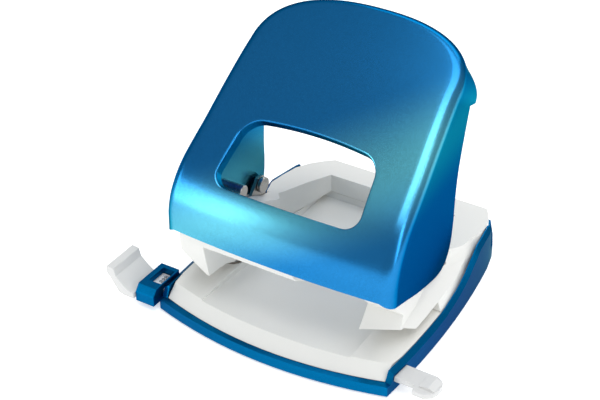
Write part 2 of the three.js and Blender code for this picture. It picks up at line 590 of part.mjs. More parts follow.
// The pressed sheet as a closed skin: the outside, the same grid moved in by the sheet
// thickness, and the strips that join them round the hand opening and the free edges.
function makeHandle() {
  const rim = sheetRim();
  const loop = rim.map((entry) => [entry.u - entry.out.x * ROLL_R, entry.v - entry.out.y * ROLL_R]);
  const count = rim.length;
  loop[0][1] = 0;
  loop[count - 1][1] = 0;
  const cornerU = loop[0][0];
  for (let i = 1; i < FOOT_STEPS; i += 1) loop.push([-cornerU + 2 * cornerU * (i / FOOT_STEPS), 0]);
  const middle = WINDOW_LOW_V + WINDOW_HEIGHT / 2;
  const edge = loop.map(([u, v]) => windowEdge(Math.atan2(v - middle, u)));
  const points = [];
  const faces = [];
  const frontRows = 4;
  for (let row = 0; row <= frontRows; row += 1) {
    loop.forEach(([u, v], k) => {
      const share = row / frontRows;
      points.push(sheetPoint(edge[k][0] + (u - edge[k][0]) * share, edge[k][1] + (v - edge[k][1]) * share, 0));
    });
  }
  const quad = (a, b, c, d) => faces.push([a, b, c], [a, c, d]);
  for (let row = 0; row < frontRows; row += 1) {
    for (let k = 0; k < loop.length; k += 1) {
      const next = (k + 1) % loop.length;
      const base = row * loop.length;
      quad(base + k, base + loop.length + k, base + loop.length + next, base + next);
    }
  }
  const rollRows = 4;
  const flangeRows = 3;
  let inner = frontRows * loop.length;
  for (let row = 1; row <= rollRows + flangeRows; row += 1) {
    const base = points.length;
    rim.forEach((entry) => {
      const bend = Math.PI / 2 * Math.min(row / rollRows, 1);
      const reach = ROLL_R * (1 - Math.sin(bend));
      const start = sheetPoint(entry.u - entry.out.x * reach, Math.max(entry.v - entry.out.y * reach, 0),
        ROLL_R * (1 - Math.cos(bend)));
      const share = Math.max(row - rollRows, 0) / flangeRows;
      points.push(start.lerp(freeEdge(entry), share));
    });
    for (let k = 0; k + 1 < count; k += 1) quad(inner + k, base + k, base + k + 1, inner + k + 1);
    inner = base;
  }
  return thicken(points, faces, SHEET);
}

// Gives an open surface a thickness, inward from its outside, and closes its edges.
function thicken(points, faces, thickness) {
  const normals = points.map(() => new THREE.Vector3());
  const real = faces.filter(([a, b, c]) => {
    const area = points[b].clone().sub(points[a]).cross(points[c].clone().sub(points[a]));
    for (const k of [a, b, c]) normals[k].add(area);
    return area.length() > 1e-6;
  });
  const inside = points.map((p, k) => p.clone().addScaledVector(normals[k].normalize(), -thickness));
  const seen = new Map();
  for (const [a, b, c] of real) for (const pair of [[a, b], [b, c], [c, a]]) seen.set(pair.join(), pair);
  const shift = points.length;
  const skin = [...real, ...real.map(([a, b, c]) => [c + shift, b + shift, a + shift])];
  for (const [a, b] of seen.values()) {
    if (!seen.has([b, a].join())) skin.push([b, a, a + shift], [b, a + shift, b + shift]);
  }
  const geometry = new THREE.BufferGeometry();
  const corners = [...points, ...inside].flatMap((p) => [p.x, p.y, p.z]);
  geometry.setAttribute('position', new THREE.Float32BufferAttribute(corners, 3));
  geometry.setIndex(skin.flat());
  return toSolid(geometry);
}

function makePivotPin(side) {
  const e0 = frameOut - EAR;
  const head = barX(PIVOT_R + 1.1, side > 0 ? e0 - 2.1 : -e0 + 0.3, side > 0 ? e0 - 0.3 : -e0 + 2.1, PIVOT_Y, pivotZ);
  const end = frameOut + 0.2;
  return head.add(barX(PIVOT_R, side > 0 ? e0 - 1 : -end, side > 0 ? end : -e0 + 1, PIVOT_Y, pivotZ));
}

function makePressPin(side) {
  const outer = flangeX(pressY + PRESS_R, pressZ) - SHEET - SEAT_GAP;
  const inner = headX - 4.6;
  return barX(PRESS_R, Math.min(side * inner, side * outer), Math.max(side * inner, side * outer), pressY, pressZ);
}

// ---- sliding paper stop -------------------------------------------------------------
const sleeveTop = railZ + RAIL_HEIGHT + 3.6;

function makeSleeve() {
  const inner = -planHalf(SLEEVE_REAR) - SEAT_GAP;
  const low = railZ - 1.4;
  const outline = [
    [SLEEVE_FRONT, low], [SLEEVE_REAR, low], [SLEEVE_REAR, sleeveTop], [SLEEVE_FRONT + 2.4, sleeveTop],
    [SLEEVE_FRONT, sleeveTop - 3],
  ];
  const slack = RUN_CLEAR;
  return prismX(outline, -SLEEVE_OUT, inner)
    .subtract(block(-SLEEVE_OUT - 2, inner + 2, railFront - slack, railRear + slack,
      railZ - 0.3, railZ + RAIL_HEIGHT + RAIL_HEADROOM))
    .subtract(block(-SLEEVE_OUT + 2.4, -SLEEVE_OUT + 8.4, railFront - 1.2, railRear - 0.4,
      railZ + 1, sleeveTop + 2));
}

function makeRail() {
  const bar = block(RAIL_LEFT, RAIL_LEFT + RAIL_LENGTH, railFront, railRear, railZ, railZ + RAIL_HEIGHT);
  const top = railZ + RAIL_HEIGHT;
  const root = -SLEEVE_OUT - SEAT_GAP;
  const tip = root - STOP_REACH;
  const fin = [
    [root, railZ], [root, top], [root - 2.4, top + 0.5], [root - 5.4, top + 2.6],
    [tip + 4.4, STOP_HEIGHT - 3.6], [tip + 3.4, STOP_HEIGHT], [tip, STOP_HEIGHT + 0.3],
    [tip - 0.6, STOP_HEIGHT - 2.4], [tip + 2.2, top + 3], [tip + 5.6, railZ + 0.8], [tip + 8, railZ],
  ];
  return bar.add(prismY(fin, STOP_FRONT, STOP_REAR));
}

function makeLabel() {
  const top = railZ + RAIL_HEIGHT + 0.1;
  const half = RAIL_WIDTH / 2 - 0.4;
  return block(RAIL_LEFT + 1.5, RAIL_LEFT + RAIL_LENGTH - 2, RAIL_Y - half, RAIL_Y + half, top, top + 0.3);
}

// ---- locking slide ------------------------------------------------------------------
function makeLockSlide() {
  const half = TAB_WIDTH / 2;
  const neckX = BASE_HALF + LOCK_TRAVEL + 0.5;
  const outline = [
    [lockInner, -half + TAB_NECK], [neckX, -half + TAB_NECK], [neckX + 0.6, -half], [TAB_OUT - 4, -half], [TAB_OUT - 1, -half + 2.2], [TAB_OUT, -half + 5.2],
    [TAB_OUT, half - 4], [TAB_OUT - 1.6, half - 1.2], [TAB_OUT - 4, half], [lockInner, half],
  ].map(([x, y]) => [x, y + tabY]);
  const pad = [
    [TAB_OUT - 7.5, tabZ + 1], [TAB_OUT - 7.5, tabZ + TAB_THICK + 0.6], [TAB_OUT - 3.5, tabZ + TAB_THICK + 1.2],
    [TAB_OUT - 0.6, tabZ + TAB_THICK + 0.3], [TAB_OUT - 0.6, tabZ + 1],
  ];
  return prismZ(outline, tabZ, tabZ + TAB_THICK).add(prismY(pad, tabY - half + 3, tabY + half - 2.4));
}

// ---- chip tray ----------------------------------------------------------------------
const trayFront = BASE_FRONT + 9;
const trayZ = 0;
const trayTop = FLOOR_Z - SEAT_GAP;
const trayHingeZ = 1.7;

function makeTray() {
  const wall = TRAY_WALL;
  const narrow = rearHalf - 7;
  const outline = (inset) => [
    [-TRAY_HALF + inset, trayFront + inset], [TRAY_HALF - inset, trayFront + inset],
    [TRAY_HALF - inset, wallEndY], [narrow - inset, trayRear - inset],
    [-narrow + inset, trayRear - inset], [-TRAY_HALF + inset, wallEndY],
  ];
  let tray = prismZ(outline(0), trayZ, trayTop)
    .subtract(prismZ(outline(wall), trayZ + wall, trayTop + 1));
  tray = tray.add(block(-narrow + 4, narrow - 4, trayHingeY - 1.6, trayRear - 0.2, trayZ, trayTop));
  const relief = SCREW_R + 2.1; // room round a screw head that comes near the tray's wall
  for (const y of screwRows) {
    const x = screwX(y);
    const wallX = y < wallEndY ? TRAY_HALF : narrow;
    if (x + relief < wallX - wall) continue;
    for (const side of [-1, 1]) {
      const ends = [side * (x - relief), side * (TRAY_HALF + relief * 2)].sort((a, b) => a - b);
      tray = tray.subtract(block(...ends, y - relief - 0.4, y + relief + 0.4, trayZ - 1, trayTop + 1));
    }
  }
  return tray.subtract(barX(0.9, -narrow, narrow, trayHingeY, trayHingeZ, 12));
}

function makeTrayPin() {
  const reach = rearHalf - 12;
  return barX(0.7, -reach, reach, trayHingeY, trayHingeZ, 12);
}

// ---- assembly -----------------------------------------------------------------------
const punch = new THREE.Group();

function place(name, shape, finish) {
  const geometry = shape.isBufferGeometry ? shape : toGeometry(shape);
  const mesh = new THREE.Mesh(geometry, finishes[finish]);
  mesh.name = name;
  punch.add(mesh);
}

place('base_pan', makeBasePan(), 'bluePlastic');
place('base_body', makeBaseBody(), 'whitePlastic');
place('mechanism_cover', makeCover(), 'whitePlastic');
place('format_sleeve', makeSleeve(), 'bluePlastic');
place('format_rail', makeRail(), 'greyPlastic');
place('format_label', makeLabel(), 'label');
place('lock_slide', makeLockSlide(), 'greyPlastic');
place('handle_shell', makeHandle(), 'blueMetal');
place('chip_tray', makeTray(), 'bluePlastic');
place('tray_hinge_pin', makeTrayPin(), 'steel');
for (const [word, side] of [['left', -1], ['right', 1]]) {
  place(`punch_frame_${word}`, makeFrame(side), 'steel');
  place(`die_plate_${word}`, makeDie(side), 'steel');
  place(`punch_pin_${word}`, makePunch(side), 'steel');
  place(`return_spring_${word}`,
    makeRing(PUNCH_R + 0.3, PUNCH_R + 0.3 + SPRING_WIRE, springZ, springZ + SPRING_LENGTH, side * headX), 'steel');
  place(`spring_clip_${word}`, makeRing(PUNCH_R - 0.3, PUNCH_R + 1.6, clipZ + 0.05, clipZ + 0.75, side * headX), 'steel');
  place(`pivot_pin_${word}`, makePivotPin(side), 'steel');
  place(`press_pin_${word}`, makePressPin(side), 'steel');
  place(`foot_front_${word}`, makeFoot(side, footRows[0]), 'rubber');
  place(`foot_rear_${word}`, makeFoot(side, footRows[1]), 'rubber');
  place(`cover_screw_front_${word}`, makeCoverScrew(side, screwRows[0]), 'steel');
  place(`cover_screw_rear_${word}`, makeCoverScrew(side, screwRows[1]), 'steel');
}

export default punch;
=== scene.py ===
"""Two-hole desk punch: the finished look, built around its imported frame."""
import logging
import math
from dataclasses import dataclass, field
from enum import Enum

import bmesh
import bpy
import numpy as np
from mathutils import Matrix, Vector


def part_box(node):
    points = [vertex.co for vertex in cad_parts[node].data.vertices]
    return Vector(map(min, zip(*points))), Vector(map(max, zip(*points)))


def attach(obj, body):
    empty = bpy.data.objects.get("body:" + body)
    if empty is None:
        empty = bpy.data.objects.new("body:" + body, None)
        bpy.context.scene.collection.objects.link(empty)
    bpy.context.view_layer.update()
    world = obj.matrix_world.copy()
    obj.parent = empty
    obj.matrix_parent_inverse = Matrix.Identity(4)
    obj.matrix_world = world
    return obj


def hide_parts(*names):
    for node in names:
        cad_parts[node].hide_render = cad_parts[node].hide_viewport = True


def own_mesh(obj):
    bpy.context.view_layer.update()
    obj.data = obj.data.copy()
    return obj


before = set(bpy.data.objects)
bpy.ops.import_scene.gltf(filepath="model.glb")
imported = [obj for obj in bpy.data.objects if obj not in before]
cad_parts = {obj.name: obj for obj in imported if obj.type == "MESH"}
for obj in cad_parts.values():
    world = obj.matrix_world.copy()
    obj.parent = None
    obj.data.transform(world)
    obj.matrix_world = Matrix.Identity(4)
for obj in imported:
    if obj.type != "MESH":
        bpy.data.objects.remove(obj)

log = logging.getLogger("punch")
MM = 0.001
SIDES = ("left", "right")
WELD = 2e-6  # points of a frame mesh closer than this, in metres, are one
FINE_WELD = 1e-6  # the same for meshes made here
SLIVER = 1e-7  # edges shorter than this are dropped
FLAT_ANGLE = 0.6  # faces that meet at less than this, in degrees, are one flat face


class Body(Enum):
    """Moving bodies of the punch."""

    BASE = "base"
    HANDLE = "handle"
    PUNCH_LEFT = "punch_left"
    PUNCH_RIGHT = "punch_right"
    STOP = "paper_stop"
    LOCK = "handle_lock"
    TRAY = "tray"


class Slot(Enum):
    """Material slots of the record."""

    BLUE_METAL = "blue_metal"
    BLUE_PLASTIC = "blue_plastic"
    WHITE_PLASTIC = "white_plastic"
    GREY_PLASTIC = "grey_plastic"
    STEEL = "steel"
    RUBBER = "rubber"
    LABEL = "label"


# ---- shader groups ------------------------------------------------------------------


class Nodes:
    """Small helper that adds and wires nodes in one tree."""

    def __init__(self, tree: bpy.types.NodeTree) -> None:
        """Keeps the tree.

        Args:
            tree: the node tree to build in.
        """
        self.tree = tree

    def add(self, kind: str, **values: object) -> bpy.types.Node:
        """Adds a node and sets its properties and inputs.

        Args:
            kind: the node's type name.
            **values: properties of the node, or inputs by name with _ for a space.

        Returns:
            The new node.
        """
        node = self.tree.nodes.new(kind)
        for key, value in values.items():
            if hasattr(node, key):
                setattr(node, key, value)
            else:
                node.inputs[key.replace("_", " ")].default_value = value
        return node

    def link(self, out: bpy.types.NodeSocket, into: bpy.types.NodeSocket) -> None:
        """Joins two sockets."""
        self.tree.links.new(out, into)


def shader_group(name: str, inputs: dict, outputs: dict) -> tuple[bpy.types.NodeTree, Nodes]:
    """Makes an empty shader node group with its sockets.

    Args:
        name: the group's name.
        inputs: socket name to (type, default value).
        outputs: socket name to type.

    Returns:
        The group and a helper on it.
    """
    tree = bpy.data.node_groups.new(name, "ShaderNodeTree")
    for label, (kind, default) in inputs.items():
        socket = tree.interface.new_socket(label, in_out="INPUT", socket_type=kind)
        socket.default_value = default
    for label, kind in outputs.items():
        tree.interface.new_socket(label, in_out="OUTPUT", socket_type=kind)
    return tree, Nodes(tree)


def grain_group() -> bpy.types.NodeTree:
    """Fine moulding grain: a height, a roughness and a slight tint, on object coordinates.

    Returns:
        The shader group.
    """
    tree, make = shader_group(
        "moulding_grain",
        {
            "Scale": ("NodeSocketFloat", 900.0),
            "Roughness": ("NodeSocketFloat", 0.4),
            "Spread": ("NodeSocketFloat", 0.08),
            "Color": ("NodeSocketColor", (0.8, 0.8, 0.8, 1)),
            "Shade": ("NodeSocketColor", (0.7, 0.7, 0.7, 1)),
        },
        {"Color": "NodeSocketColor", "Roughness": "NodeSocketFloat", "Height": "NodeSocketFloat"},
    )
    source = make.add("NodeGroupInput")
    result = make.add("NodeGroupOutput")
    coords = make.add("ShaderNodeTexCoord")
    fine = make.add("ShaderNodeTexNoise", Detail=3.0, Roughness=0.6)
    broad = make.add("ShaderNodeTexNoise", Scale=45.0, Detail=4.0, Roughness=0.55)
    make.link(coords.outputs["Object"], fine.inputs["Vector"])
    make.link(coords.outputs["Object"], broad.inputs["Vector"])
    make.link(source.outputs["Scale"], fine.inputs["Scale"])
    make.link(fine.outputs["Fac"], result.inputs["Height"])
    centred = make.add("ShaderNodeMath", operation="SUBTRACT")
    centred.inputs[1].default_value = 0.5
    make.link(broad.outputs["Fac"], centred.inputs[0])
    spread = make.add("ShaderNodeMath", operation="MULTIPLY_ADD")
    make.link(centred.outputs[0], spread.inputs[0])
    make.link(source.outputs["Spread"], spread.inputs[1])
    make.link(source.outputs["Roughness"], spread.inputs[2])
    make.link(spread.outputs[0], result.inputs["Roughness"])
    mix = make.add("ShaderNodeMix", data_type="RGBA")
    make.link(broad.outputs["Fac"], mix.inputs["Factor"])
    make.link(source.outputs["Color"], mix.inputs[6])
    make.link(source.outputs["Shade"], mix.inputs[7])
    make.link(mix.outputs[2], result.inputs["Color"])
    return tree


def add_painted_reflection(make: Nodes, source: bpy.types.Node, coords: bpy.types.Node,
             share: bpy.types.NodeSocket) -> bpy.types.NodeSocket:
    """Adds a painted reflection to the drift of a lacquer: a soft slanting stripe of the lighter blue
    where a softbox would reflect.

    Args:
        make: helper on the group's tree.
        source: the group's input node, which holds the painted reflection's height, slope, width and
            share.
        coords: the texture coordinate node.
        share: the drift between the two blues.

    Returns:
        The drift with the painted reflection in it.
    """
    place = make.add("ShaderNodeSeparateXYZ")
    make.link(coords.outputs["Object"], place.inputs[0])
    rise = make.add("ShaderNodeMath", operation="MULTIPLY_ADD")
    make.link(place.outputs["X"], rise.inputs[0])
    make.link(source.outputs["Painted Reflection Slope"], rise.inputs[1])
    make.link(source.outputs["Painted Reflection Height"], rise.inputs[2])
    apart = make.add("ShaderNodeMath", operation="SUBTRACT")
    make.link(place.outputs["Z"], apart.inputs[0])
    make.link(rise.outputs[0], apart.inputs[1])
    distance = make.add("ShaderNodeMath", operation="ABSOLUTE")
    make.link(apart.outputs[0], distance.inputs[0])
    fade = make.add("ShaderNodeMapRange", interpolation_type="SMOOTHSTEP")
    make.link(distance.outputs[0], fade.inputs["Value"])
    make.link(source.outputs["Band Width"], fade.inputs["From Max"])
    fade.inputs["To Min"].default_value = 1.0
    fade.inputs["To Max"].default_value = 0.0
    painted_reflection = make.add("ShaderNodeMath", operation="MULTIPLY")
    make.link(fade.outputs["Result"], painted_reflection.inputs[0])
    make.link(source.outputs["Painted Reflection Share"], painted_reflection.inputs[1])
    total = make.add("ShaderNodeMath", operation="ADD", use_clamp=True)
    make.link(share, total.inputs[0])
    make.link(painted_reflection.outputs[0], total.inputs[1])
    return total.outputs[0]


def pearl_group() -> bpy.types.NodeTree:
    """Pearl lacquer: a colour that drifts at random between two blues, a painted reflection of a softbox
    as a slanting stripe of the lighter blue, and a fine flake height.

    Returns:
        The shader group.
    """
    tree, make = shader_group(
        "pearl_lacquer",
        {
            "Deep": ("NodeSocketColor", (0.0, 0.1, 0.4, 1)),
            "Light": ("NodeSocketColor", (0.1, 0.5, 0.7, 1)),
            "Drift": ("NodeSocketFloat", 0.5),
            "Flake Scale": ("NodeSocketFloat", 2600.0),
            # height, slope, width and share of the painted reflection: a slanting stripe of the lighter
            # blue where a softbox reflects
            "Painted Reflection Height": ("NodeSocketFloat", 0.064),
            "Painted Reflection Slope": ("NodeSocketFloat", 0.5),
            "Band Width": ("NodeSocketFloat", 0.026),
            "Painted Reflection Share": ("NodeSocketFloat", 0.0),
        },
        {"Color": "NodeSocketColor", "Height": "NodeSocketFloat"},
    )
    source = make.add("NodeGroupInput")
    result = make.add("NodeGroupOutput")
    coords = make.add("ShaderNodeTexCoord")
    drift = make.add("ShaderNodeTexNoise", Scale=7.0, Detail=1.0, Roughness=0.3)
    flake = make.add("ShaderNodeTexVoronoi")
    make.link(coords.outputs["Object"], drift.inputs["Vector"])
    make.link(coords.outputs["Object"], flake.inputs["Vector"])
    make.link(source.outputs["Flake Scale"], flake.inputs["Scale"])
    share = make.add("ShaderNodeMath", operation="MULTIPLY", use_clamp=True)
    make.link(drift.outputs["Fac"], share.inputs[0])
    make.link(source.outputs["Drift"], share.inputs[1])
    blues = make.add("ShaderNodeMix", data_type="RGBA")
    make.link(add_painted_reflection(make, source, coords, share.outputs[0]), blues.inputs["Factor"])
    make.link(source.outputs["Deep"], blues.inputs[6])
    make.link(source.outputs["Light"], blues.inputs[7])
    glint = make.add("ShaderNodeSeparateColor")
    make.link(flake.outputs["Color"], glint.inputs[0])
    spark = make.add("ShaderNodeMath", operation="MULTIPLY_ADD")
    spark.inputs[1].default_value = 0.16
    spark.inputs[2].default_value = 0.92
    make.link(glint.outputs[0], spark.inputs[0])
    lit = make.add("ShaderNodeVectorMath", operation="SCALE")
    make.link(blues.outputs[2], lit.inputs[0])
    make.link(spark.outputs[0], lit.inputs["Scale"])
    make.link(lit.outputs[0], result.inputs["Color"])
    make.link(glint.outputs[0], result.inputs["Height"])
    return tree


# ---- finishes -----------------------------------------------------------------------


def new_material(name: str) -> tuple[bpy.types.Material, Nodes, bpy.types.Node]:
    """Makes a node material with its Principled shader.

    Args:
        name: the material's name.

    Returns:
        The material, a helper on its tree, and the Principled node.
    """
    material = bpy.data.materials.new(name)
    material.use_nodes = True
    tree = material.node_tree
    return material, Nodes(tree), tree.nodes["Principled BSDF"]


def add_bump(make: Nodes, shader: bpy.types.Node, height: bpy.types.NodeSocket,
             strength: float, distance: float) -> None:
    """Feeds a height into the shader's normal.

    Args:
        make: helper on the material's tree.
        shader: the Principled node.
        height: the height output.
        strength: how strongly it shows.
        distance: its depth in metres.
    """
    bump = make.add("ShaderNodeBump", Strength=strength, Distance=distance)
    make.link(height, bump.inputs["Height"])
    make.link(bump.outputs["Normal"], shader.inputs["Normal"])


@dataclass(frozen=True)
class Moulding:
    """Moulded plastic with a fine grain."""

    name: str
    color: tuple[float, float, float]
    shade: tuple[float, float, float]
    roughness: float
    grain: float = 900.0
    bump: float = 0.12
    depth: float = 0.08 * MM
    spread: float = 0.1

    def build(self, grain: bpy.types.NodeTree) -> bpy.types.Material:
        """Makes the material from the shared grain group."""
        material, make, shader = new_material(self.name)
        node = make.add("ShaderNodeGroup", node_tree=grain)
        node.inputs["Scale"].default_value = self.grain
        node.inputs["Roughness"].default_value = self.roughness
        node.inputs["Spread"].default_value = self.spread
        node.inputs["Color"].default_value = (*self.color, 1)
        node.inputs["Shade"].default_value = (*self.shade, 1)
        make.link(node.outputs["Color"], shader.inputs["Base Color"])
        make.link(node.outputs["Roughness"], shader.inputs["Roughness"])
        add_bump(make, shader, node.outputs["Height"], self.bump, self.depth)
        return material


@dataclass(frozen=True)
class PearlLacquer:
    """Metallic blue lacquer that turns navy at grazing angles."""

    name: str
    deep: tuple[float, float, float]
    light: tuple[float, float, float]
    edge: tuple[float, float, float]
    drift: float
    roughness: float
    metallic: float
    # share of the painted reflection, a slanting stripe of the lighter blue painted into the base colour
    painted_reflection: float = 0.0
    grazing_tint: tuple[float, float, float] = (0.0, 0.33, 0.36)
    specular: float = 0.2
    facing_blend: float = 0.35
    flake_bump: float = 0.06
    flake_depth: float = 0.05 * MM

    def build(self, pearl: bpy.types.NodeTree) -> bpy.types.Material:
        """Makes the material from the shared pearl group."""
        material, make, shader = new_material(self.name)
        node = make.add("ShaderNodeGroup", node_tree=pearl)
        node.inputs["Deep"].default_value = (*self.deep, 1)
        node.inputs["Light"].default_value = (*self.light, 1)
        node.inputs["Drift"].default_value = self.drift
        node.inputs["Painted Reflection Share"].default_value = self.painted_reflection
        facing = make.add("ShaderNodeLayerWeight", Blend=self.facing_blend)
        flop = make.add("ShaderNodeMix", data_type="RGBA")
        make.link(facing.outputs["Facing"], flop.inputs["Factor"])
        make.link(node.outputs["Color"], flop.inputs[6])
        flop.inputs[7].default_value = (*self.edge, 1)
        make.link(flop.outputs[2], shader.inputs["Base Color"])
        shader.inputs["Metallic"].default_value = self.metallic
        shader.inputs["Roughness"].default_value = self.roughness
        shader.inputs["Specular Tint"].default_value = (*self.grazing_tint, 1)
        shader.inputs["Specular IOR Level"].default_value = self.specular
        add_bump(make, shader, node.outputs["Height"], self.flake_bump, self.flake_depth)
        return material


@dataclass(frozen=True)
class TurnedSteel:
    """Bare steel with fine tooling marks across it."""

    name: str
    color: tuple[float, float, float]
    roughness: float
    grain: float = 1500.0
    spread: float = 0.22
    shade: float = 0.75
    line_scale: float = 220.0
    line_stretch: float = 30.0
    line_bump: float = 0.15
    line_depth: float = 0.06 * MM

    def build(self, grain: bpy.types.NodeTree) -> bpy.types.Material:
        """Makes the material from the shared grain group and a fine line noise."""
        material, make, shader = new_material(self.name)
        node = make.add("ShaderNodeGroup", node_tree=grain)
        node.inputs["Scale"].default_value = self.grain
        node.inputs["Roughness"].default_value = self.roughness
        node.inputs["Spread"].default_value = self.spread
        node.inputs["Color"].default_value = (*self.color, 1)
        node.inputs["Shade"].default_value = tuple(c * self.shade for c in self.color) + (1,)
        coords = make.add("ShaderNodeTexCoord")
        stretch = make.add("ShaderNodeMapping")
        stretch.inputs["Scale"].default_value = (1, 1, self.line_stretch)
        lines = make.add("ShaderNodeTexNoise", Scale=self.line_scale, Detail=2.0)
        make.link(coords.outputs["Object"], stretch.inputs["Vector"])
        make.link(stretch.outputs["Vector"], lines.inputs["Vector"])
        make.link(node.outputs["Color"], shader.inputs["Base Color"])
        make.link(node.outputs["Roughness"], shader.inputs["Roughness"])
        shader.inputs["Metallic"].default_value = 1.0
        add_bump(make, shader, lines.outputs["Fac"], self.line_bump, self.line_depth)
        return material


class Finishes:
    """All the materials of the punch, by record slot."""

    def __init__(self) -> None:
        """Builds the shared groups and each finish once."""
        grain = grain_group()
        pearl = pearl_group()
        self.by_slot: dict[Slot, bpy.types.Material] = {
            # the sheet's lighter blue is the pale cyan of a softbox's reflection; besides the random
            # drift, a slanting stripe of it is painted into the base colour as a painted reflection
            Slot.BLUE_METAL: PearlLacquer(
                "lacquered_sheet", deep=(0.0, 0.16, 0.50), light=(0.15, 0.60, 0.72),
                edge=(0.0, 0.06, 0.20), drift=0.25, roughness=0.25, metallic=1.0,
                painted_reflection=0.8).build(pearl),
            Slot.BLUE_PLASTIC: PearlLacquer(
                "pearl_blue_moulding", deep=(0.0, 0.12, 0.33), light=(0.0, 0.22, 0.44),
                edge=(0.0, 0.05, 0.16), drift=0.6, roughness=0.32, metallic=0.9).build(pearl),
            Slot.WHITE_PLASTIC: Moulding(
                "off_white_moulding", (0.86, 0.85, 0.81), (0.83, 0.82, 0.775), 0.38).build(grain),
            Slot.GREY_PLASTIC: Moulding(
                "pale_grey_moulding", (0.72, 0.715, 0.70), (0.67, 0.665, 0.65), 0.36).build(grain),
            Slot.STEEL: TurnedSteel("turned_steel", (0.62, 0.59, 0.56), 0.28).build(grain),
            Slot.RUBBER: Moulding(
                "foot_rubber", (0.03, 0.03, 0.033), (0.05, 0.05, 0.05), 0.8, 1400.0, 0.4).build(grain),
            Slot.LABEL: Moulding(
                "printed_strip", (0.86, 0.87, 0.88), (0.82, 0.83, 0.85), 0.55, 1200.0, 0.05).build(grain),
        }
        self.ink = Moulding("strip_ink", (0.03, 0.03, 0.035), (0.05, 0.05, 0.05), 0.5).build(grain)

    def of(self, slot: Slot) -> bpy.types.Material:
        """The material of a slot."""
        return self.by_slot[slot]


# ---- meshes -------------------------------------------------------------------------


def new_piece(name: str, mesh: bpy.types.Mesh) -> bpy.types.Object:
    """Links a mesh into the scene as a piece at the origin.

    Args:
        name: the piece's name.
        mesh: its finished mesh.

    Returns:
        The new object.
    """
    piece = bpy.data.objects.new(name, mesh)
    bpy.context.scene.collection.objects.link(piece)
    return piece


def settle(piece: bpy.types.Object) -> None:
    """Applies a piece's modifiers to its mesh and removes them.

    Args:
        piece: the object to settle.
    """
    bpy.context.view_layer.update()
    graph = bpy.context.evaluated_depsgraph_get()
    mesh = bpy.data.meshes.new_from_object(piece.evaluated_get(graph))
    piece.modifiers.clear()
    piece.data = mesh


def finish_piece(piece: bpy.types.Object, material: bpy.types.Material, body: Body) -> None:
    """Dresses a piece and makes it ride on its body.

    Args:
        piece: the object.
        material: its material.
        body: the body that carries it.
    """
    piece.data.materials.clear()
    piece.data.materials.append(material)
    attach(piece, body.value)
    log.info("%s rides on %s, %d faces", piece.name, body.value, len(piece.data.polygons))


def soften_edges(piece: bpy.types.Object, width: float, angle: float = 28.0, segments: int = 3) -> None:
    """Rounds a piece's sharp edges and gives its flat faces clean shading.

    Args:
        piece: the object.
        width: edge radius in metres.
        angle: smallest edge angle that is rounded, in degrees.
        segments: steps across the rounding.
    """
    for face in piece.data.polygons:
        face.use_smooth = True
    bevel = piece.modifiers.new("edges", "BEVEL")
    bevel.width = width
    bevel.segments = segments
    bevel.limit_method = "ANGLE"
    bevel.angle_limit = math.radians(angle)
    bevel.use_clamp_overlap = True
    bevel.miter_outer = "MITER_ARC"
    weighted = piece.modifiers.new("shading", "WEIGHTED_NORMAL")
    weighted.keep_sharp = True
    settle(piece)


def refined_copy(node: str, name: str, width: float, angle: float = 28.0,
                 segments: int = 3) -> bpy.types.Object:
    """A merged, rounded copy of a frame node, which it replaces.

    Args:
        node: the frame node.
        name: the new piece's name.
        width: edge radius in metres.
        angle: smallest edge angle that is rounded, in degrees.
        segments: steps across the rounding.

    Returns:
        The new object.
    """
    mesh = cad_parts[node].data.copy()
    mesh.name = name
    work = bmesh.new()
    work.from_mesh(mesh)
    bmesh.ops.remove_doubles(work, verts=work.verts, dist=WELD)
    bmesh.ops.dissolve_limit(
        work, angle_limit=math.radians(FLAT_ANGLE), verts=work.verts, edges=work.edges, delimit=set())
    bmesh.ops.dissolve_degenerate(work, dist=WELD, edges=work.edges)
    work.to_mesh(mesh)
    work.free()
    stale = mesh.attributes.get("custom_normal")
    if stale is not None:
        mesh.attributes.remove(stale)
    piece = new_piece(name, mesh)
    soften_edges(piece, width, angle, segments)
    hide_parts(node)
    return piece


def grid_mesh(name: str, points: np.ndarray, faces: list[tuple[int, ...]]) -> bpy.types.Mesh:
    """Makes a merged mesh from points and faces.

    Args:
        name: the mesh's name.
        points: an (n, 3) array in metres.
        faces: tuples of point numbers.

    Returns:
        The new mesh, without doubled points.
    """
    mesh = bpy.data.meshes.new(name)
    mesh.from_pydata([tuple(p) for p in points], [], faces)
    work = bmesh.new()
    work.from_mesh(mesh)
    bmesh.ops.remove_doubles(work, verts=work.verts, dist=FINE_WELD)
    bmesh.ops.dissolve_degenerate(work, dist=SLIVER, edges=work.edges)
    work.to_mesh(mesh)
    work.free()
    return mesh


# ---- the handle ---------------------------------------------------------------------


